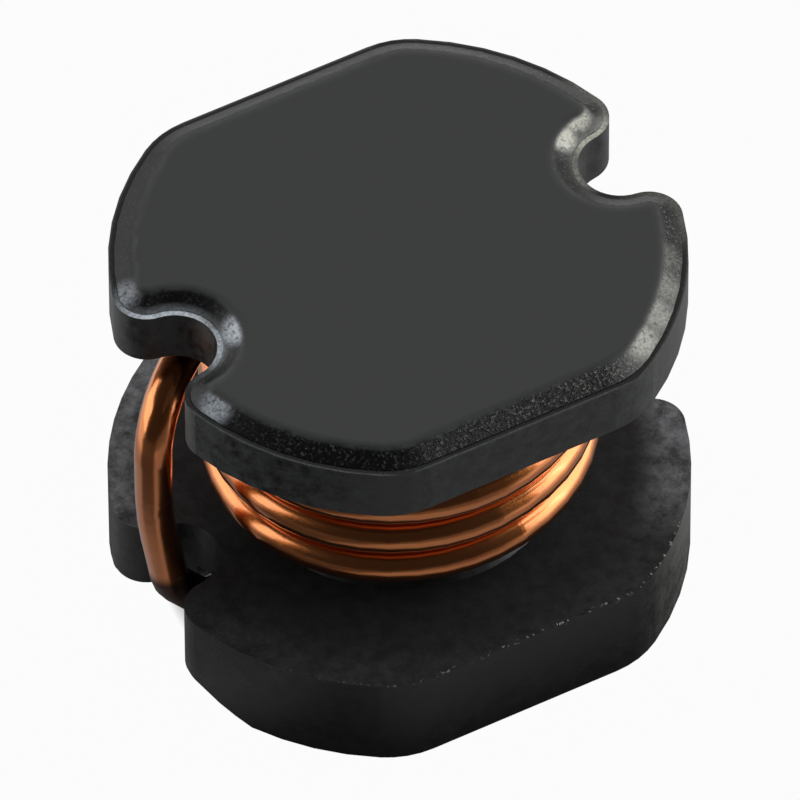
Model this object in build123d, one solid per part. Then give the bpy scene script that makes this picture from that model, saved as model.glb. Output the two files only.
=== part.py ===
from build123d import *
from math import acos, cos, degrees, floor, pi, radians, sqrt
import os

# A wire-wound power inductor for surface mounting: a pressed ferrite drum core, one enamelled
# copper wire wound on its post, and a tinned pad and a solder joint at each end of its underside.
# Millimetres, +Z up. The part stands on its pads at Z = 0, and the drum's axis is the Z axis.
# Its length, from notch to notch, runs along X. The wire starts at +X and ends at -X.

# The core: a lower and an upper flange, each a disc with two flats and two notches, and a post
core_diameter = 5.8
flat_depth = 0.30
core_corner_radius = 0.97
upper_flange_setback = 0.05
lower_flange_thickness = 1.085
upper_flange_wall = 0.605
window_height = 2.54
post_diameter = 3.18
post_root_slope = 0.05

# The notch at each end, where a wire end passes, and its rounded mouth
notch_radius = 0.42
notch_depth = 0.83
notch_mouth_radius = 0.335

# The upper face: a narrow level land behind its rim, a low step, then a rounded bevel up to the flat
land_width = 0.06
bevel_width = 0.20
bevel_height = 0.12
bevel_foot = 0.01
bevel_rounding = 0.25

# The underside: at each end a shallow channel with sloped sides, and in its roof a wire groove
channel_depth = 0.265
channel_roof_width = 1.50
channel_mouth_width = 3.00
channel_length = 1.70
groove_depth = 0.48
groove_side_clearance = 0.06
groove_length = 0.72

# The tinned pads, which coat the underside and the channel at each end
pad_thickness = 0.08
pad_length = 1.36
pad_to_end = 0.54
pad_edge_margin = 0.10

# The wire, over its enamel, and how it is wound
wire_diameter = 0.38
wire_to_post = 0.02
turn_gap = 0.055
first_turn_gap = 0.175
last_turn_gap = 0.03
corners_per_turn = 3
coil_arc_clearance = 0.01

# The wire's two ends: down through the notches, slanting inwards, and along the grooves.
# The finish end bows out a little between the flanges.
lead_to_notch = 0.325
lead_slant_height = 0.76
lead_bow = 0.165
lead_bow_height = 0.78
start_bend_radius = 0.42
finish_bend_radius = 0.60
bow_bend_radius = 5.00
slant_bend_radius = 0.45
tail_bend_radius = 0.30
tail_to_notch = 0.14
tail_to_groove = 0.02
tail_end_cover = 0.12

# The solder that fills each channel and groove
solder_recess = 0.02
solder_end_margin = 0.05

# Worked out from the sizes above
base_z = pad_thickness
ledge_z = base_z + lower_flange_thickness
ceiling_z = ledge_z + window_height
rim_z = ceiling_z + upper_flange_wall
top_z = rim_z + bevel_height

core_radius = core_diameter / 2
core_width = core_diameter - 2 * flat_depth
notch_centre = core_radius - notch_depth + notch_radius
notch_bottom = core_radius - notch_depth
channel_inner_end = core_radius - channel_length
groove_inner_end = notch_bottom - groove_length
pad_outer_edge = core_radius - pad_to_end
pad_inner_edge = pad_outer_edge - pad_length

wire_radius = wire_diameter / 2
coil_radius = post_diameter / 2 + wire_to_post + wire_radius
turn_pitch = wire_diameter + turn_gap
lead_x = notch_bottom + lead_to_notch + wire_radius
bow_x = lead_x + lead_bow
tail_z = base_z + groove_depth - tail_to_groove - wire_radius
groove_width = wire_diameter + 2 * groove_side_clearance


def arc_about(centre, start, end):
    """The short way round a circle, from one point to another."""
    c, p, q = Vector(*centre), Vector(*start), Vector(*end)
    out = ((p - c) + (q - c)).normalized()
    return ThreePointArc(p, c + out * (p - c).length, q)


def flange_face(setback=0.0, notch_growth=0.0):
    """A disc cut by two flats, its four corners rounded, with a round notch at each end.

    setback moves the outer edge inwards, and notch_growth widens the notches."""
    radius = core_radius - setback
    half_width = core_width / 2 - setback
    corner = core_corner_radius - setback
    notch = notch_radius + notch_growth
    mouth = notch_mouth_radius - notch_growth

    corner_y = half_width - corner
    corner_x = sqrt((radius - corner) ** 2 - corner_y**2)
    on_flat = (corner_x, half_width)
    reach = radius / (radius - corner)
    on_disc = (corner_x * reach, corner_y * reach)

    inner = radius - mouth
    mouth_x = (notch_centre**2 + inner**2 - (notch + mouth) ** 2) / (2 * notch_centre)
    mouth_y = sqrt(inner**2 - mouth_x**2)
    reach = radius / inner
    mouth_on_disc = (mouth_x * reach, mouth_y * reach)
    share = notch / (notch + mouth)
    mouth_on_notch = (notch_centre + (mouth_x - notch_centre) * share, mouth_y * share)

    quarter = [
        Line((0, half_width), on_flat),
        arc_about((corner_x, corner_y), on_flat, on_disc),
        arc_about((0, 0), on_disc, mouth_on_disc),
        arc_about((mouth_x, mouth_y), mouth_on_disc, mouth_on_notch),
        arc_about((notch_centre, 0), mouth_on_notch, (notch_centre - notch, 0)),
    ]
    half = quarter + [mirror(edge, Plane.XZ) for edge in quarter]
    return make_face(Curve() + half + [mirror(edge, Plane.YZ) for edge in half])


def at_both_ends(shape):
    """A shape at the +X end and its mirror image at the -X end."""
    return [shape, mirror(shape, Plane.YZ)]


def groove_room():
    """The room of the +X wire groove: round at its inner end, and open at the notch."""
    length = notch_centre - groove_inner_end
    slot = Pos(groove_inner_end + length / 2, 0) * SlotOverall(length, groove_width)
    return extrude(slot, base_z + groove_depth)


def channel_room(lower_by=0.0):
    """The room of the +X channel, from its inner end outwards, or that room set lower."""
    mouth, roof = channel_mouth_width / 2, channel_roof_width / 2
    slope = (mouth - roof) / channel_depth
    foot = mouth + slope * base_z
    section = Polyline(
        (channel_inner_end, -foot, -lower_by),
        (channel_inner_end, -roof, base_z + channel_depth - lower_by),
        (channel_inner_end, roof, base_z + channel_depth - lower_by),
        (channel_inner_end, foot, -lower_by),
        close=True,
    )
    return extrude(make_face(section), core_radius, dir=(1, 0, 0))


def make_post():
    """The round post between the flanges, with a small slope at each of its roots."""
    radius, root = post_diameter / 2, post_diameter / 2 + post_root_slope
    profile = Polyline(
        (0, 0, ledge_z),
        (root, 0, ledge_z),
        (radius, 0, ledge_z + post_root_slope),
        (radius, 0, ceiling_z - post_root_slope),
        (root, 0, ceiling_z),
        (0, 0, ceiling_z),
        close=True,
    )
    return revolve(make_face(profile), Axis.Z)


def make_core():
    lower = Pos(0, 0, base_z) * extrude(flange_face(), lower_flange_thickness)
    rim = Pos(0, 0, ceiling_z) * extrude(flange_face(upper_flange_setback), upper_flange_wall)

    crown_face = flange_face(upper_flange_setback + land_width, land_width)
    crown = extrude(crown_face, bevel_height)
    crown_top = crown.faces().sort_by(Axis.Z)[-1]
    crown = chamfer(crown_top.edges(), bevel_width, bevel_height - bevel_foot, reference=crown_top)
    crown = fillet(crown.faces().sort_by(Axis.Z)[-1].edges(), bevel_rounding)
    core = lower + make_post() + rim + Pos(0, 0, rim_z) * crown

    for cut in at_both_ends(channel_room()) + at_both_ends(groove_room()):
        core -= cut
    return core


def wire_path():
    """The wire's centre line: up through the +X notch, round the post, and down at -X.

    It is made of straight runs joined by tangent arcs. The coil's runs touch the coil's
    circle at their middles, so its arcs lie on that circle."""
    rise_per_mm = turn_pitch / (2 * pi * coil_radius)
    start_angle = degrees(acos(coil_radius / lead_x))
    finish_angle = 180 - degrees(acos(coil_radius / bow_x))
    part_turn = (finish_angle - start_angle) / 360
    start_rise = rise_per_mm * sqrt(lead_x**2 - coil_radius**2)
    finish_rise = rise_per_mm * sqrt(bow_x**2 - coil_radius**2)

    room = window_height - first_turn_gap - last_turn_gap - wire_diameter - finish_rise
    turns = floor(room / turn_pitch - part_turn) + part_turn
    first_z = ledge_z + first_turn_gap + wire_radius
    last_z = first_z + turns * turn_pitch

    corners = round(turns * corners_per_turn)
    step = turns * 360 / corners
    corner_radius = coil_radius / cos(radians(step / 2))
    coil = []
    for i in range(corners):
        height = first_z + (i + 0.5) / corners * (last_z - first_z)
        corner = Vector(corner_radius, 0, height)
        coil.append(corner.rotate(Axis.Z, start_angle + (i + 0.5) * step))

    tail_x = groove_inner_end + tail_end_cover
    start_lead = [
        (tail_x, 0, tail_z),
        (notch_bottom + tail_to_notch, 0, tail_z),
        (lead_x, 0, base_z + lead_slant_height),
        (lead_x, 0, first_z - start_rise),
    ]
    finish_lead = [
        (-bow_x, 0, last_z + finish_rise),
        (-bow_x, 0, ledge_z + lead_bow_height),
        (-lead_x, 0, base_z + lead_slant_height),
        (-notch_bottom - tail_to_notch, 0, tail_z),
        (-tail_x, 0, tail_z),
    ]
    radii = [tail_bend_radius, slant_bend_radius, start_bend_radius]
    radii += [coil_radius - coil_arc_clearance] * corners
    radii += [finish_bend_radius, bow_bend_radius, slant_bend_radius, tail_bend_radius]
    return FilletPolyline(*start_lead, *coil, *finish_lead, radius=radii)


def make_winding():
    """The wire along its path. Each straight or round piece grows from the end of the last."""
    path = wire_path()
    end = Plane(origin=path @ 0, z_dir=path % 0) * Circle(wire_radius)
    pieces = []
    for edge in path.edges():
        if edge.geom_type == GeomType.LINE:
            piece = extrude(end, edge.length, dir=edge % 0)
        else:
            bend_axis = Axis(edge.arc_center, (edge % 0).cross(edge % 1))
            piece = revolve(end, bend_axis, (edge % 0).get_angle(edge % 1))
        pieces.append(piece)
        end = piece.faces().sort_by_distance(edge @ 1)[0]
    winding = pieces[0].fuse(*pieces[1:])
    print("wire length", round(path.length, 3), "volume", round(winding.volume, 4))
    print("section times length", round(pi * wire_radius**2 * path.length, 4))
    return winding


def make_pad():
    """The +X pad: a coat on the flat of the underside, on the channel's sides and on its roof."""
    outline = flange_face(pad_edge_margin, pad_edge_margin)
    length = pad_outer_edge - pad_inner_edge
    outline = outline & (Pos(pad_inner_edge + length / 2, 0) * Rectangle(length, core_width))
    coat = extrude(outline, base_z) + (extrude(outline, ledge_z) & channel_room())
    return coat - channel_room(pad_thickness) - groove_room()


def make_solder(winding):
    """The +X solder, which fills the coated channel and the groove round the wire's end."""
    room = channel_room(pad_thickness) + groove_room()
    inner, outer = channel_inner_end + pad_thickness, notch_bottom - solder_end_margin
    height = ledge_z - solder_recess
    keep = Box(outer - inner, core_width, height, align=(Align.MIN, Align.CENTER, Align.MIN))
    return (room & (Pos(inner, 0, solder_recess) * keep)) - winding


core = make_core()
winding = make_winding()
pads = at_both_ends(make_pad())
solder_start = make_solder(winding)
solder_finish = mirror(make_solder(mirror(winding, Plane.YZ)), Plane.YZ)

parts = {
    "drum_core": core,
    "winding": winding,
    "pad_start": pads[0],
    "pad_finish": pads[1],
    "solder_start": solder_start,
    "solder_finish": solder_finish,
}

os.makedirs("parts", exist_ok=True)
for name, shape in parts.items():
    export_step(shape, f"parts/{name}.step")
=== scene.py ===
# %% [markdown]
# # An open power inductor on a white table
#
# This notebook dresses a small wire-wound inductor: a pressed ferrite drum core with a few turns
# of enamelled copper wire. What is made here is what the eye reads as ferrite, enamel and tin,
# and the light and the camera of a product photograph.

# %% [markdown]
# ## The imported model
#
# The core, the wire, the pads and the solder were drawn as solids in a CAD program, to size. They
# could be modelled a second time here, but then two shapes would have to agree, so the solids are
# loaded as they are and get only their finishes. Lengths in Blender are in metres, and a part
# this small is easier to follow in millimetres, so one value turns the one into the other.

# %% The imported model
import math
import bpy
from mathutils import Matrix, Vector

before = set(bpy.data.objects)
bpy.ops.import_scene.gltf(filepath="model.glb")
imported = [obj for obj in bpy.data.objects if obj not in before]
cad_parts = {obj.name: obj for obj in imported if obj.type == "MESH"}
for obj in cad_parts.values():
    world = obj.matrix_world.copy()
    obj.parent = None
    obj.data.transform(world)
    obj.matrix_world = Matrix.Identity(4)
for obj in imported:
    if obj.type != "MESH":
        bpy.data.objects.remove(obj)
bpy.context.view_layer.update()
mm = 0.001
print("nodes:", sorted(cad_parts))

# %% [markdown]
# ## The camera's direction
#
# A product photographer stands well back with a long lens, so that the far side of the core looks
# nearly as wide as the near side. The camera could be turned by hand until the picture looks
# right, but the outline of the two flanges gives its direction to a tenth of a degree, so it is
# set by numbers: how far round the part it stands, how high, and how far it is tilted.

# %% The camera's direction
camera_azimuth = math.radians(-28.39)
camera_elevation = math.radians(49.29)
camera_roll = math.radians(0.29)
back = Vector((
    math.sin(camera_azimuth) * math.cos(camera_elevation),
    -math.cos(camera_azimuth) * math.cos(camera_elevation),
    math.sin(camera_elevation),
))
right = Vector((math.cos(camera_azimuth), math.sin(camera_azimuth), 0))
up = back.cross(right)
across = right * math.cos(camera_roll) - up * math.sin(camera_roll)
upright = back.cross(across)
print("from the part to the camera:", [round(v, 3) for v in back])

# %% [markdown]
# ## The camera's place and lens
#
# A lens can be given by its angle or by its length. Here the width of what the picture takes in
# is known, 7.98 mm at the part, and with the distance and the sensor it gives the lens.

# %% The camera's place and lens
camera_distance = 195.2 * mm
camera_target = Vector((0.494, 0.893, 0.946)) * mm
picture_width = 7.98 * mm
sensor_width = 36
bpy.ops.object.camera_add(location=camera_target + back * camera_distance)
camera = bpy.context.object
camera.name = "photo_camera"
camera.rotation_mode = "QUATERNION"
camera.rotation_quaternion = Matrix((across, upright, back)).transposed().to_quaternion()
camera.data.sensor_width = sensor_width
camera.data.lens = sensor_width * camera_distance / picture_width
camera.data.clip_start = 10 * mm
camera.data.clip_end = 10
bpy.context.scene.camera = camera
bpy.context.scene.view_settings.view_transform = "Standard"
print("lens in mm:", round(camera.data.lens, 1))

# %% [markdown]
# ## Colours
#
# A colour is easiest to compare with a photograph as a hex value, as on a screen. Blender's nodes
# work in linear light, where mid grey is about a fifth of white and not a half, so one function
# turns the one into the other.

# %% Colours


def linear(hex_colour):
    """A screen colour, such as "b87333", in linear light, with alpha."""
    channels = [int(hex_colour[i:i + 2], 16) / 255 for i in (0, 2, 4)]
    return [c / 12.92 if c <= 0.04045 else ((c + 0.055) / 1.055) ** 2.4 for c in channels] + [1]


print("mid grey 808080 in linear light:", round(linear("808080")[0], 3))

# %% [markdown]
# ## Nodes
#
# Nodes could be joined by hand in the node editor. In code, one small function adds a node, sets
# its options and joins its inputs, so that a material reads as a list of what is on the surface.
# The inputs in use are filled in order, or by name where a node has many. A node given as an
# input is joined by its first output in use. The options that come up in every material get
# short names first.

# %% Nodes
add = {"operation": "ADD"}
subtract = {"operation": "SUBTRACT"}
multiply = {"operation": "MULTIPLY"}
divide = {"operation": "DIVIDE"}
larger = {"operation": "MAXIMUM"}
smaller = {"operation": "MINIMUM"}
absolute = {"operation": "ABSOLUTE"}
length = {"operation": "LENGTH"}
dot = {"operation": "DOT_PRODUCT"}
smooth = {"interpolation_type": "SMOOTHSTEP"}
colours = {"data_type": "RGBA"}
numbers = {"data_type": "FLOAT"}


def add_node(tree, kind, settings=None, *in_order, **by_name):
    """Adds a node. Settings are its options, and an input is a value, a socket or a node."""
    node = tree.nodes.new(kind)
    for name, value in (settings or {}).items():
        setattr(node, name, value)
    inputs = list(zip([socket for socket in node.inputs if socket.enabled], in_order))
    inputs += [(node.inputs[name.replace("_", " ")], value) for name, value in by_name.items()]
    for socket, value in inputs:
        if isinstance(value, bpy.types.Node):
            value = next(output for output in value.outputs if output.enabled)
        if isinstance(value, bpy.types.NodeSocket):
            tree.links.new(value, socket)
        else:
            socket.default_value = value
    return node


print("named options:", add, smooth, colours)

# %% [markdown]
# ## A new material
#
# All patterns below follow the object itself. They could follow its bounding box, but then they
# would stretch with it, so each material starts from the place of a point on the object, and
# gives it in millimetres, so that every size in a pattern is a real one.

# %% A new material


def new_material(name):
    """An empty node material, its tree, and the place of a point in millimetres."""
    material = bpy.data.materials.new(name)
    material.use_nodes = True
    tree = material.node_tree
    tree.nodes.clear()
    metres = add_node(tree, "ShaderNodeTexCoord").outputs["Object"]
    place = add_node(tree, "ShaderNodeVectorMath", {"operation": "SCALE"}, metres, 1 / mm)
    print("material:", name)
    return material, tree, place


# %% [markdown]
# ## The table
#
# The photograph has no edge between the table and the wall: all that is not the part is white. A
# sheet of white paper could be lit until it is white, but so much light would wash the part out.
# So the paper glows for the camera, and for the part it is as grey as it needs to be. It lies a
# hair below the pads, because two faces at one height flicker.

# %% The table
below_pads = 0.005 * mm
bpy.ops.object.select_all(action="DESELECT")
bpy.ops.mesh.primitive_plane_add(size=2, location=(0, 0, -below_pads))
table = bpy.context.object
table.name = "white_table"
white, tree, place = new_material("white_table_paper")
table.data.materials.append(white)
print("table in m:", list(table.dimensions))

# %% [markdown]
# ## The shade under the part
#
# Under the part the table is in shade, and no white shows through the notches. A glow has no
# shadow, so it is left out inside the outline of the part. That outline is a disc with two flats.
# Two measures are 1 at its edge, one across the flats and one from the axis, and the larger of
# the two tells whether a point is outside.

# %% The shade under the part
shade_half_width, shade_radius = 2.3, 2.45
table_axes = add_node(tree, "ShaderNodeSeparateXYZ", Vector=place).outputs
off_centre = add_node(tree, "ShaderNodeMath", absolute, table_axes["Y"])
from_axis = add_node(tree, "ShaderNodeVectorMath", length, place)
past_flats = add_node(tree, "ShaderNodeMath", divide, off_centre, shade_half_width)
past_disc = add_node(tree, "ShaderNodeMath", divide, from_axis, shade_radius)
outline = add_node(tree, "ShaderNodeMath", larger, past_flats, past_disc)
outside = add_node(tree, "ShaderNodeMapRange", Value=outline, From_Min=0.9, From_Max=1.0)
print("shade in mm:", 2 * shade_half_width, "wide,", 2 * shade_radius, "across")

# %% [markdown]
# ## What the wire mirrors
#
# Bright wire shows the studio more than itself. Its dark bands are images of the shade round the
# part and of the dark cards that a photographer sets beside shiny things, to give them contrast.
# The cards could be boards, but boards would shade the core as well, and show in other views. So
# they are dark sectors of the table that only glossy rays see, spread out from the left end of
# the wire. The table also starts out grey beside the part and is brighter further off.

# %% What the wire mirrors
rays = add_node(tree, "ShaderNodeLightPath").outputs
left_wire_end = (-2.9, 0, 0)
# For each card: its direction, the half angles where it is full and where it ends, in degrees,
# the distances where it starts and where it is full, in mm, and how dark it is at each
dark_cards = [
    (-150, 30, 48, 0.7, 2.5, 0.3, 0.97),
    (-95, 36, 48, 6.5, 10.0, 0.0, 0.9),
]
from_wire = add_node(tree, "ShaderNodeVectorMath", subtract, place, left_wire_end)
wire_gap = add_node(tree, "ShaderNodeVectorMath", length, from_wire)
heading = add_node(tree, "ShaderNodeVectorMath", {"operation": "NORMALIZE"}, from_wire)
mirrored = rays["Is Glossy Ray"]
for azimuth, full_angle, end_angle, start, full, start_dark, full_dark in dark_cards:
    centre_line = (math.cos(math.radians(azimuth)), math.sin(math.radians(azimuth)), 0)
    sector = add_node(tree, "ShaderNodeVectorMath", dot, heading, centre_line)
    sector = add_node(tree, "ShaderNodeMapRange", smooth, Value=sector,
                      From_Min=math.cos(math.radians(end_angle)),
                      From_Max=math.cos(math.radians(full_angle)))
    reached = add_node(tree, "ShaderNodeMapRange", smooth, Value=wire_gap, From_Min=start,
                       From_Max=full, To_Min=start_dark, To_Max=full_dark)
    card = add_node(tree, "ShaderNodeMath", multiply, sector, reached)
    uncovered = add_node(tree, "ShaderNodeMath", subtract, 1.0, card)
    mirrored = add_node(tree, "ShaderNodeMath", multiply, mirrored, uncovered)
print("dark cards:", len(dark_cards))

# %% [markdown]
# ## How bright the paper is
#
# The shade round the part fades over a third of its width, and the far table is three times as
# bright as the near one in a reflection. The camera, and rays that pass through something clear,
# see plain white. There could be one sheet for the camera and another for reflections, but a
# material knows which kind of ray asks, so one sheet answers each in its own way: with more or
# less glow over grey paper.

# %% How bright the paper is
beside_half_length, beside_half_width = 2.35, 2.668
white_level = 0.97
past_ends = add_node(tree, "ShaderNodeMath", absolute, table_axes["X"])
past_ends = add_node(tree, "ShaderNodeMath", divide, past_ends, beside_half_length)
past_sides = add_node(tree, "ShaderNodeMath", divide, off_centre, beside_half_width)
beside = add_node(tree, "ShaderNodeMath", larger, past_ends, past_sides)
beside = add_node(tree, "ShaderNodeMapRange", smooth, Value=beside,
                  From_Min=1.0, From_Max=1.35, To_Min=0.12)
far = add_node(tree, "ShaderNodeMapRange", smooth, Value=from_axis,
               From_Min=6.5, From_Max=11, To_Min=0.27, To_Max=0.85)
for share in (far, beside):
    mirrored = add_node(tree, "ShaderNodeMath", multiply, mirrored, share)
seen = add_node(tree, "ShaderNodeMath", larger, rays["Is Camera Ray"], rays["Is Transmission Ray"])
seen = add_node(tree, "ShaderNodeMath", multiply, seen, white_level)
share = add_node(tree, "ShaderNodeMath", add, seen, mirrored)
share = add_node(tree, "ShaderNodeMath", multiply, share, outside)
paper = add_node(tree, "ShaderNodeBsdfDiffuse", Color=linear("505050"))
glow = add_node(tree, "ShaderNodeEmission", Color=(1, 1, 1, 1), Strength=1.0)
sheet = add_node(tree, "ShaderNodeMixShader", None, share, paper, glow)
print("white level for the camera:", white_level)

# %% [markdown]
# ## See-through from below
#
# The pads and the solder are on the underside, and a table would hide them. It could be taken
# away for those views, but one scene has to do for all. So its lower face lets everything pass,
# and so does the place under the part, except for the camera, which lets a lamp below the table
# reach the underside.

# %% See-through from below
lower_face = add_node(tree, "ShaderNodeNewGeometry").outputs["Backfacing"]
see_through = add_node(tree, "ShaderNodeMath", larger, rays["Is Camera Ray"], outside)
see_through = add_node(tree, "ShaderNodeMath", subtract, 1.0, see_through)
see_through = add_node(tree, "ShaderNodeMath", larger, see_through, lower_face)
nothing = add_node(tree, "ShaderNodeBsdfTransparent")
sheet = add_node(tree, "ShaderNodeMixShader", None, see_through, sheet, nothing)
add_node(tree, "ShaderNodeOutputMaterial", Surface=sheet)
print("nodes in the table's paper:", len(tree.nodes))

# %% [markdown]
# ## The studio's walls
#
# A studio's walls are far off and dim beside its lamps. The walls could be modelled, but the part
# sees them only as a faint light from all round, so the world gives that, and the camera sees it
# as white.

# %% The studio's walls
wall_light = 0.03
world = bpy.data.worlds.new("studio")
bpy.context.scene.world = world
world.use_nodes = True
world.node_tree.nodes.clear()
tree = world.node_tree
rays = add_node(tree, "ShaderNodeLightPath").outputs
walls = add_node(tree, "ShaderNodeBackground", Color=(1, 1, 1, 1), Strength=wall_light)
backdrop = add_node(tree, "ShaderNodeBackground", Color=(1, 1, 1, 1), Strength=1.0)
studio = add_node(tree, "ShaderNodeMixShader", None, rays["Is Camera Ray"], walls, backdrop)
add_node(tree, "ShaderNodeOutputWorld", Surface=studio)
print("light from the walls:", wall_light)

# %% [markdown]
# ## The lamps
#
# Soft boxes light the part from the back and the sides, so that its front walls stay dark and its
# edges and turns get bright lines. A sun would be simpler, but it gives a point of light on the
# wire where a soft box gives a streak. The fill lamp lights the top face and would also show on
# the wire as a patch, so it is hidden from reflections. The strip is there for its reflection
# alone, and the lamp below lights the underside through the table.

# %% The lamps
lamp_distance = 0.25


def soft_lamp(name, azimuth, elevation, width, height, power):
    """A rectangular lamp that faces the part. Angles in degrees, sizes in m, power in W."""
    a, e = math.radians(azimuth), math.radians(elevation)
    towards = Vector((math.cos(a) * math.cos(e), math.sin(a) * math.cos(e), math.sin(e)))
    bpy.ops.object.light_add(type="AREA", location=towards * lamp_distance)
    lamp = bpy.context.object
    lamp.name = name
    lamp.rotation_mode = "QUATERNION"
    lamp.rotation_quaternion = towards.to_track_quat("Z", "Y")
    lamp.data.shape = "RECTANGLE"
    lamp.data.size = width
    lamp.data.size_y = height
    lamp.data.energy = power
    print(name, "power in W:", power)
    return lamp


soft_lamp("lamp_right", azimuth=-12, elevation=27, width=0.19, height=0.32, power=0.48)
soft_lamp("lamp_left", azimuth=148, elevation=14, width=0.26, height=0.24, power=0.35)
soft_lamp("lamp_back", azimuth=68, elevation=40, width=0.44, height=0.28, power=0.31)
fill = soft_lamp("lamp_fill", azimuth=60, elevation=75, width=0.40, height=0.40, power=0.35)
fill.visible_glossy = False
strip = soft_lamp("lamp_strip", azimuth=-40, elevation=9, width=0.08, height=0.22, power=0.13)
strip.visible_diffuse = False
soft_lamp("lamp_below", azimuth=-90, elevation=-80, width=0.50, height=0.50, power=0.5)

# %% [markdown]
# ## Ferrite: where a point lies
#
# The core is nickel-zinc ferrite: powder pressed in a die and sintered to a hard, nearly black
# ceramic. Its skin has a low gloss and a very fine grain. The wear, and the light and shade
# painted into its colour, follow the shape. They could be painted by hand on an unwrapped surface,
# but the core is so regular that a point's height and its distance to the rim say where it lies:
# on the top face, on the rounded bevel round it, on the narrow land outside the bevel, on the
# ledge of the lower flange, or on a wall.

# %% Ferrite: where a point lies
core_radius, core_half_width = 2.9, 2.6
top_height, land_height, ledge_height = 4.43, 4.31, 1.165
ferrite, tree, place = new_material("pressed_sintered_ferrite")
x, y, z = add_node(tree, "ShaderNodeSeparateXYZ", Vector=place).outputs
normal = add_node(tree, "ShaderNodeNewGeometry").outputs["Normal"]
facing_up = add_node(tree, "ShaderNodeSeparateXYZ", Vector=normal).outputs["Z"]
level = add_node(tree, "ShaderNodeMapRange", Value=facing_up, From_Min=0.9, From_Max=0.95)
top_face = add_node(tree, "ShaderNodeMapRange", smooth, Value=z,
                    From_Min=top_height - 0.025, From_Max=top_height - 0.001)
off_top = add_node(tree, "ShaderNodeMath", subtract, 1.0, top_face)
above_land = add_node(tree, "ShaderNodeMapRange", Value=z,
                      From_Min=land_height + 0.001, From_Max=land_height + 0.004)
from_land_up = add_node(tree, "ShaderNodeMapRange", Value=z,
                        From_Min=land_height - 0.010, From_Max=land_height - 0.001)
on_bevel = add_node(tree, "ShaderNodeMath", multiply, above_land, off_top)
on_land = add_node(tree, "ShaderNodeMath", subtract, from_land_up, above_land)
on_land = add_node(tree, "ShaderNodeMath", multiply, on_land, level)
print("heights in mm:", top_height, land_height, ledge_height)

# %% [markdown]
# ## Ferrite: how far the rim is
#
# The rim is a disc with two flats, so the way to it is the shorter of the way to the disc's edge
# and the way to the nearer flat. It could be measured on the mesh and stored at its corners, but
# the mesh has few corners on a flat face, and two subtractions are right everywhere.

# %% Ferrite: how far the rim is
off_centre = add_node(tree, "ShaderNodeMath", absolute, y)
to_flat = add_node(tree, "ShaderNodeMath", subtract, core_half_width, off_centre)
plan_place = add_node(tree, "ShaderNodeCombineXYZ", X=x, Y=y)
from_axis = add_node(tree, "ShaderNodeVectorMath", length, plan_place)
to_arc = add_node(tree, "ShaderNodeMath", subtract, core_radius, from_axis)
to_rim = add_node(tree, "ShaderNodeMath", smaller, to_flat, to_arc)
print("core in mm:", 2 * core_radius, "across,", 2 * core_half_width, "over the flats")

# %% [markdown]
# ## Ferrite: grain, clouds and chips
#
# Three noises carry all the texture. One could do for everything, but the skin has marks of three
# kinds and sizes. The press powder is granules of 0.1 to 0.2 mm, which stay visible as clouds
# after firing. Where the skin broke, it broke in chips of about 0.05 mm. The grains of the ceramic
# are a few thousandths of a millimetre, less than a pixel of the picture, so the grain is drawn
# coarser than it is, at 0.03 mm, to show at all.

# %% Ferrite: grain, clouds and chips
grain_size, cloud_size, chip_size = 0.03, 0.16, 0.045
grain = add_node(tree, "ShaderNodeTexNoise", Vector=place, Scale=1 / grain_size,
                 Detail=3.0, Roughness=0.65)
clouds = add_node(tree, "ShaderNodeTexNoise", Vector=place, Scale=1 / cloud_size,
                  Detail=4.0, Roughness=0.7)
chips = add_node(tree, "ShaderNodeTexNoise", Vector=place, Scale=1 / chip_size,
                 Detail=2.0, Roughness=0.5, Distortion=0.4)
mottle = add_node(tree, "ShaderNodeMapRange", Value=clouds, From_Min=0.35, From_Max=0.68)
specks = add_node(tree, "ShaderNodeMapRange", Value=grain, From_Min=0.60, From_Max=0.72)
chip = add_node(tree, "ShaderNodeMapRange", Value=chips, From_Min=0.60, From_Max=0.66)
print("grain, clouds and chips in mm:", grain_size, cloud_size, chip_size)

# %% [markdown]
# ## Ferrite: rubbed spots and painted highlights
#
# Cores are tumbled to take off their burrs, and they rub against each other at the mouths of the
# notches and along the bevel, which leaves pale, patchy spots. A noise alone would put the wear
# anywhere, so each spot is given one by one: where its middle is, how far it reaches and how
# strong it is. A spot is full within a quarter of its reach, and where spots overlap, the
# strongest one counts.
# Not all of the spots are wear: those at the right notch and along the right arc of the bevel are
# painted highlights, pale colour where the right lamp's reflection lies.

# %% Ferrite: rubbed spots and painted highlights
full_within = 0.25


def strongest(tree, place, spots):
    """How strong the strongest of some round spots is at a place."""
    most = None
    for middle, reach, strength in spots:
        away = add_node(tree, "ShaderNodeVectorMath", {"operation": "DISTANCE"}, place, middle)
        near = add_node(tree, "ShaderNodeMapRange", smooth, Value=away,
                        From_Min=reach, From_Max=reach * full_within, To_Max=strength)
        most = add_node(tree, "ShaderNodeMath", larger, most, near) if most else near
    return most


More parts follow.
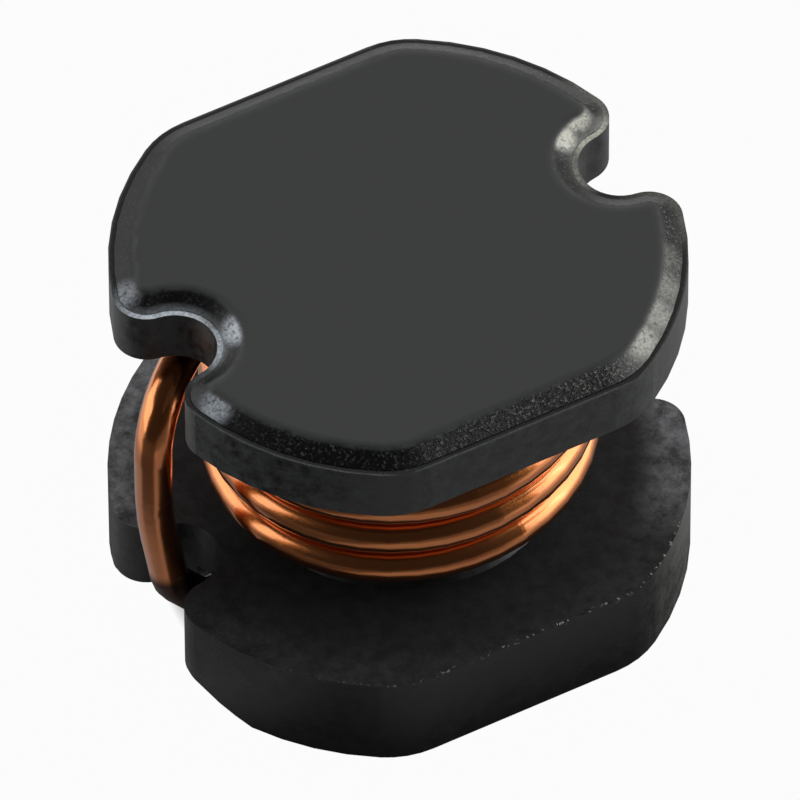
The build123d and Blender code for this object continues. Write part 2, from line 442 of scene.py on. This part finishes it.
# The middle and the reach of each spot are in mm
bevel_wear_and_highlight_spots = [
    ((-1.88, -0.16, 4.40), 0.25, 0.95),
    ((-2.53, -0.92, 4.37), 0.24, 0.70),
    ((-2.62, 0.80, 4.34), 0.24, 0.42),
    # painted highlights at the mouth of the right notch
    ((2.12, 0.50, 4.41), 0.21, 1.35),
    ((2.34, 0.66, 4.42), 0.22, 1.35),
    # painted highlights along the right arc of the bevel
    ((1.52, -2.18, 4.41), 0.30, 0.72),
    ((1.82, -1.94, 4.41), 0.30, 0.50),
    ((2.06, -1.66, 4.41), 0.28, 0.36),
    ((2.24, -1.35, 4.41), 0.26, 0.20),
]
patchy = add_node(tree, "ShaderNodeMapRange", Value=grain,
                  From_Min=0.36, From_Max=0.60, To_Min=0.5)
pits = add_node(tree, "ShaderNodeMapRange", Value=chips,
                From_Min=0.34, From_Max=0.44, To_Min=0.35)
rubbed_and_highlit = strongest(tree, place, bevel_wear_and_highlight_spots)
for share in (on_bevel, patchy, pits):
    rubbed_and_highlit = add_node(tree, "ShaderNodeMath", multiply, rubbed_and_highlit, share)
print("rubbed spots on the bevel:", len(bevel_wear_and_highlight_spots))

# %% [markdown]
# ## Ferrite: the burnished land and its painted highlights
#
# The land is the narrow flat strip round the bevel. At the mouths of the notches it is burnished
# pale, and so is the foot of the bevel beside it; at the right notch this pale colour is also a
# painted highlight. Its outer corner gets a painted highlight, a thin pale line all the way round.
# The same round spots place the burnish, and the heights keep it on the land.

# %% Ferrite: the burnished land and its painted highlights
line_inset, highlight_line_strength = 0.05, 0.08
land_spots = [
    ((-2.38, 0.38, 4.31), 0.70, 0.95),
    ((-2.08, -0.20, 4.31), 0.42, 0.75),
    ((-2.35, -0.58, 4.31), 0.30, 0.12),
    ((2.40, 0.52, 4.31), 0.45, 0.80),
    ((2.07, 0.15, 4.31), 0.45, 0.30),
    ((2.60, 0.80, 4.31), 0.60, 0.20),
    ((2.60, -0.80, 4.31), 0.60, 0.15),
]
polish_and_highlight = strongest(tree, place, land_spots)
land = add_node(tree, "ShaderNodeMath", multiply, on_land, polish_and_highlight)
bevel_foot = add_node(tree, "ShaderNodeMapRange", Value=z, From_Min=land_height + 0.050,
                      From_Max=land_height + 0.015, To_Max=0.28)
for share in (from_land_up, polish_and_highlight):
    bevel_foot = add_node(tree, "ShaderNodeMath", multiply, bevel_foot, share)
# Painted highlight: a thin pale line along the outer corner of the land
to_corner = add_node(tree, "ShaderNodeMath", subtract, to_rim, line_inset)
line = add_node(tree, "ShaderNodeMapRange", Value=to_corner, From_Min=0.026, From_Max=0.014)
line_height = add_node(tree, "ShaderNodeMapRange", Value=z, From_Min=land_height - 0.022,
                       From_Max=land_height - 0.012, To_Max=highlight_line_strength)
line = add_node(tree, "ShaderNodeMath", multiply, line, line_height)
for other in (bevel_foot, line):
    land = add_node(tree, "ShaderNodeMath", larger, land, other)
land_patchy = add_node(tree, "ShaderNodeMapRange", Value=grain,
                       From_Min=0.35, From_Max=0.60, To_Min=0.5)
land = add_node(tree, "ShaderNodeMath", multiply, land, land_patchy)
print("burnished spots on the land:", len(land_spots))

# %% [markdown]
# ## Ferrite: painted glints and chipped edges
#
# The bevel gets painted glints: pale specks in its colour, more to the right and to the front,
# that stand in for its grains catching the light. The sharp upper edge of the lower flange has
# lost small chips, which show paler than the old skin. The chips could be cut into the mesh, but
# they are only a few pixels wide. So both come from the noises above, kept to where they belong.

# %% Ferrite: painted glints and chipped edges
to_front = add_node(tree, "ShaderNodeMapRange", Value=y,
                    From_Min=-0.6, From_Max=-1.8, To_Min=0.3)
to_right = add_node(tree, "ShaderNodeMapRange", Value=x,
                    From_Min=-1.5, From_Max=1.5, To_Min=0.08, To_Max=0.4)
painted_glints = add_node(tree, "ShaderNodeMapRange", Value=grain, From_Min=0.54, From_Max=0.70)
for share in (to_right, on_bevel, to_front):
    painted_glints = add_node(tree, "ShaderNodeMath", multiply, painted_glints, share)
from_ledge = add_node(tree, "ShaderNodeMath", subtract, z, ledge_height)
from_ledge = add_node(tree, "ShaderNodeMath", absolute, from_ledge)
at_ledge = add_node(tree, "ShaderNodeMapRange", Value=from_ledge, From_Min=0.035, From_Max=0.01)
at_rim = add_node(tree, "ShaderNodeMapRange", Value=to_rim, From_Min=0.045, From_Max=0.015)
often = add_node(tree, "ShaderNodeMapRange", Value=x,
                 From_Min=-2.0, From_Max=0.5, To_Min=0.1, To_Max=0.6)
not_far_right = add_node(tree, "ShaderNodeMapRange", Value=x, From_Min=2.2, From_Max=2.0)
chipped = chip
for share in (at_ledge, at_rim, often, not_far_right, to_front):
    chipped = add_node(tree, "ShaderNodeMath", multiply, chipped, share)
print("chipped edge at a height in mm of:", ledge_height)

# %% [markdown]
# ## Ferrite: painted light on the ledge, and scuffs
#
# The outer part of the ledge is painted in a paler tone, except at the front: this is painted
# light, where the ledge reaches out from under the upper flange's shade. The wall under the ledge
# is scuffed at the right end.

# %% Ferrite: painted light on the ledge, and scuffs
low_ledge = add_node(tree, "ShaderNodeMapRange", Value=z, From_Min=2.0, From_Max=1.3)
low_ledge = add_node(tree, "ShaderNodeMath", multiply, low_ledge, level)
painted_ledge_light = add_node(tree, "ShaderNodeMapRange", smooth, Value=from_axis, From_Min=2.3, From_Max=2.8)
rearward = add_node(tree, "ShaderNodeVectorMath", dot, place, (0.5, 1, 0))
away_from_front = add_node(tree, "ShaderNodeMapRange", Value=rearward,
                   From_Min=-1.2, From_Max=-0.5, To_Min=0.08)
for share in (away_from_front, low_ledge):
    painted_ledge_light = add_node(tree, "ShaderNodeMath", multiply, painted_ledge_light, share)
scuffed = add_node(tree, "ShaderNodeMapRange", Value=x, From_Min=1.3, From_Max=2.0, To_Max=0.85)
upright_wall = add_node(tree, "ShaderNodeMath", subtract, 1.0, level)
low_wall = add_node(tree, "ShaderNodeMapRange", Value=z, From_Min=1.3, From_Max=1.2)
for share in (upright_wall, low_wall):
    scuffed = add_node(tree, "ShaderNodeMath", multiply, scuffed, share)
print("nodes in the ferrite so far:", len(tree.nodes))

# %% [markdown]
# ## Ferrite: its tones
#
# To the eye, fired ferrite is a nearly black grey. Here it is drawn darker towards its foot, which
# is painted shade. The tones are laid over each other like thin coats of paint, from the skin to
# what lies on top of it, and each coat is told how much of it is where. Worn ferrite is a pale
# grey, a little bluer on the left side and a little warmer on the right, and the same pale grey
# paints the highlights and glints on the bevel and the land.

# %% Ferrite: its tones
speck_strength = 0.12
skin = add_node(tree, "ShaderNodeMix", colours, mottle, linear("0a0a0a"), linear("505254"))
lit_ledge_tone = add_node(tree, "ShaderNodeMix", colours, mottle, linear("363839"), linear("767a7e"))
scuff = add_node(tree, "ShaderNodeMix", colours, mottle, linear("3a3a38"), linear("6c6c68"))
# Painted shade: the tone gets darker towards the foot, and the grey specks fewer
height = add_node(tree, "ShaderNodeMapRange", smooth, Value=z,
                  From_Min=1.1, From_Max=3.6, To_Min=0.15)
speckled = specks
for share in (speck_strength, height):
    speckled = add_node(tree, "ShaderNodeMath", multiply, speckled, share)
worn_and_highlit = rubbed_and_highlit
for other in (land, chipped, painted_glints):
    worn_and_highlit = add_node(tree, "ShaderNodeMath", larger, worn_and_highlit, other)
side = add_node(tree, "ShaderNodeMapRange", Value=x, From_Min=-1.0, From_Max=1.0)
pale_wear_and_highlight_tone = add_node(tree, "ShaderNodeMix", colours, side, linear("c0c8d0"), linear("cfcfc2"))
tone = add_node(tree, "ShaderNodeMix", colours, height, linear("050404"), skin)
coats = [
    (on_bevel, linear("040404")),
    (on_land, linear("060606")),
    # painted light on the outer ledge
    (painted_ledge_light, lit_ledge_tone),
    (scuffed, scuff),
    (speckled, linear("7c8082")),
    # wear, together with the painted highlights and glints
    (worn_and_highlit, pale_wear_and_highlight_tone),
    (top_face, linear("121514")),
]
for share, coat in coats:
    tone = add_node(tree, "ShaderNodeMix", colours, share, tone, coat)
print("coats of tone:", len(coats))

# %% [markdown]
# ## Ferrite: its gloss and relief
#
# To the eye, ferrite is like a dark stone with a low sheen. The bevel is the glossiest, because
# the punch slid over it, the land is duller, and the ledge has no gloss at all. The relief is
# bump only, because the real one is about a hundredth of a millimetre deep, and the smooth top
# face has almost none. Solid ferrite has an IOR of about 2.3, but its porous skin mirrors less, so
# it is set to 1.55.

# %% Ferrite: its gloss and relief
relief_depth = 0.010 * mm
rough = add_node(tree, "ShaderNodeMapRange", Value=clouds,
                 From_Min=0.35, From_Max=0.65, To_Min=0.28, To_Max=0.5)
for where, roughness in ((top_face, 0.4), (on_bevel, 0.3), (on_land, 0.8), (low_ledge, 0.95)):
    rough = add_node(tree, "ShaderNodeMix", numbers, where, rough, roughness)
relief = add_node(tree, "ShaderNodeMath", add, grain, clouds)
strength = add_node(tree, "ShaderNodeMapRange", Value=top_face, To_Min=0.35, To_Max=0.03)
bump = add_node(tree, "ShaderNodeBump", Height=relief, Strength=strength, Distance=relief_depth)
surface = add_node(tree, "ShaderNodeBsdfPrincipled", Base_Color=tone, Roughness=rough,
                   IOR=1.55, Normal=bump)
add_node(tree, "ShaderNodeOutputMaterial", Surface=surface)
print("nodes in the ferrite:", len(tree.nodes))

# %% [markdown]
# ## Enamelled copper: its colour
#
# Winding wire is drawn copper under a thin coat of clear amber enamel. The eye sees a warm,
# orange metal. Its colour could be one value, but the enamel is never of one thickness, so the
# tone drifts over half a millimetre. Specks in the enamel are about 0.03 mm, and are drawn at
# At its foot, where it bends under into the shade of the notch, the wire is painted dark brown:
# this is painted shade.

# %% Enamelled copper: its colour
drift_size, speck_size = 0.5, 0.08
copper, tree, place = new_material("enamelled_copper_wire")
height = add_node(tree, "ShaderNodeSeparateXYZ", Vector=place).outputs["Z"]
drift = add_node(tree, "ShaderNodeTexNoise", Vector=place, Scale=1 / drift_size, Detail=2.0)
specks = add_node(tree, "ShaderNodeTexNoise", Vector=place, Scale=1 / speck_size,
                  Detail=4.0, Roughness=0.6, Distortion=0.8)
specks = add_node(tree, "ShaderNodeMapRange", Value=specks,
                  From_Min=0.70, From_Max=0.74, To_Max=0.7)
foot = add_node(tree, "ShaderNodeMapRange", smooth, Value=height,
                From_Min=1.15, From_Max=0.95)
tone = add_node(tree, "ShaderNodeMix", colours, drift, linear("ea8f4e"), linear("de8042"))
for share, coat in ((foot, linear("4a2a1c")), (specks, linear("3a1a0e"))):
    tone = add_node(tree, "ShaderNodeMix", colours, share, tone, coat)
print("drift and specks in mm:", drift_size, speck_size)

# %% [markdown]
# ## Enamelled copper: its gloss
#
# Copper gives a coloured gloss, and the enamel a sharp, colourless one on top. The two could be
# mixed by hand, but the shader's own coat does that. The enamel has set in low waves of about a
# tenth of a millimetre. At the foot there is little coat and the metal is duller, so that the
# coat's reflection does not lighten the painted shade there.

# %% Enamelled copper: its gloss
wave_size, wave_depth = 0.13, 0.006 * mm
waves = add_node(tree, "ShaderNodeTexNoise", Vector=place, Scale=1 / wave_size,
                 Detail=3.0, Roughness=0.6)
enamel = add_node(tree, "ShaderNodeMapRange", Value=foot, To_Min=1.0, To_Max=0.15)
rough = add_node(tree, "ShaderNodeMapRange", Value=foot, To_Min=0.23, To_Max=0.4)
bump = add_node(tree, "ShaderNodeBump", Height=waves, Strength=0.2, Distance=wave_depth)
surface = add_node(tree, "ShaderNodeBsdfPrincipled", Base_Color=tone, Metallic=1.0,
                   Roughness=rough, Coat_Weight=enamel, Coat_Roughness=0.1, Normal=bump)
add_node(tree, "ShaderNodeOutputMaterial", Surface=surface)
print("waves in mm:", wave_size)

# %% [markdown]
# ## Tin-plated pads: what is on them
#
# The pads are silver paste, fired onto the ferrite and plated with matte tin. The eye sees a pale,
# faintly warm grey. Its crystals are a few thousandths of a millimetre and are drawn at 0.02 mm,
# so that they show. Stains from handling are a few tenths across. The board tester's pins leave
# scratches, which are a noise stretched along the pad: nearly a millimetre long and 0.03 mm wide.
# A picture of tin could give all of this, but a noise stays sharp however near the camera comes.

# %% Tin-plated pads: what is on them
crystal_size, stain_size = 0.02, 0.4
scratch_turn, scratch_scale = 0.3, (1.2, 30, 30)
tin, tree, place = new_material("matte_tin_plating")
crystals = add_node(tree, "ShaderNodeTexNoise", Vector=place, Scale=1 / crystal_size,
                    Detail=3.0, Roughness=0.6)
stains = add_node(tree, "ShaderNodeTexNoise", Vector=place, Scale=1 / stain_size,
                  Detail=4.0, Roughness=0.6)
stretched = add_node(tree, "ShaderNodeMapping", Vector=place, Rotation=(0, 0, scratch_turn),
                     Scale=scratch_scale)
scratches = add_node(tree, "ShaderNodeTexNoise", Vector=stretched, Scale=1.0,
                     Detail=2.0, Roughness=0.5)
scratches = add_node(tree, "ShaderNodeMapRange", Value=scratches, From_Min=0.62, From_Max=0.70)
print("crystals and stains in mm:", crystal_size, stain_size)

# %% [markdown]
# ## Tin-plated pads: their finish
#
# Matte tin is a soft metal with a satin gloss, which is duller where it is stained. A scratch is
# a bright groove. It could be cut into the mesh, but it is shallower than the plating, so it is a
# paler line that lowers the relief.

# %% Tin-plated pads: their finish
stained = add_node(tree, "ShaderNodeMapRange", Value=stains, From_Min=0.4, From_Max=0.7)
tone = add_node(tree, "ShaderNodeMix", colours, stained, linear("c9c8c3"), linear("a8a296"))
tone = add_node(tree, "ShaderNodeMix", colours, scratches, tone, linear("dadada"))
rough = add_node(tree, "ShaderNodeMapRange", Value=stains,
                 From_Min=0.3, From_Max=0.7, To_Min=0.34, To_Max=0.55)
relief = add_node(tree, "ShaderNodeMath", subtract, crystals, scratches)
bump = add_node(tree, "ShaderNodeBump", Height=relief, Strength=0.3, Distance=0.003 * mm)
surface = add_node(tree, "ShaderNodeBsdfPrincipled", Base_Color=tone, Metallic=1.0,
                   Roughness=rough, Normal=bump)
add_node(tree, "ShaderNodeOutputMaterial", Surface=surface)
print("nodes in the tin:", len(tree.nodes))

# %% [markdown]
# ## Solder
#
# The wire's ends are joined to the pads with tin solder, which froze from a smooth melt. The eye
# sees a metal brighter than the plating, gently rippled, and frosted where its crystals reached
# the surface. The ripples are a quarter of a millimetre long. The crystals are about 0.02 mm and
# are drawn three times as coarse, so that they show. A noise could stand for both, but crystals
# have borders, and a Voronoi texture draws cells.

# %% Solder
ripple_size, crystal_size, frost_size = 0.25, 0.06, 0.15
solder, tree, place = new_material("frozen_tin_solder")
ripples = add_node(tree, "ShaderNodeTexNoise", Vector=place, Scale=1 / ripple_size,
                   Detail=2.0, Roughness=0.5)
crystals = add_node(tree, "ShaderNodeTexVoronoi", Vector=place, Scale=1 / crystal_size)
frost = add_node(tree, "ShaderNodeTexNoise", Vector=place, Scale=1 / frost_size,
                 Detail=3.0, Roughness=0.6)
frosted = add_node(tree, "ShaderNodeMapRange", Value=frost, From_Min=0.30, From_Max=0.75)
tone = add_node(tree, "ShaderNodeMix", colours, frosted, linear("d2d2d0"), linear("bcbcb8"))
rough = add_node(tree, "ShaderNodeMapRange", Value=frosted, To_Min=0.26, To_Max=0.40)
relief = crystals
for share in (frosted, 0.4):
    relief = add_node(tree, "ShaderNodeMath", multiply, relief, share)
relief = add_node(tree, "ShaderNodeMath", add, relief, ripples)
bump = add_node(tree, "ShaderNodeBump", Height=relief, Strength=0.3, Distance=0.01 * mm)
surface = add_node(tree, "ShaderNodeBsdfPrincipled", Base_Color=tone, Metallic=1.0,
                   Roughness=rough, Normal=bump)
add_node(tree, "ShaderNodeOutputMaterial", Surface=surface)
print("ripples, crystals and frost in mm:", ripple_size, crystal_size, frost_size)

# %% [markdown]
# ## Each node gets its finish
#
# Every solid of the model is of one stuff all over, so each node has one material. A node's mesh
# could be split by face for more, but here a finish changes only by where a point lies, and the
# materials see to that.

# %% Each node gets its finish
finishes = {
    "drum_core": ferrite,
    "winding": copper,
    "pad_start": tin,
    "pad_finish": tin,
    "solder_start": solder,
    "solder_finish": solder,
}
for name, material in finishes.items():
    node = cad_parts[name]
    node.data.materials.clear()
    node.data.materials.append(material)
    print(name, "is", material.name)
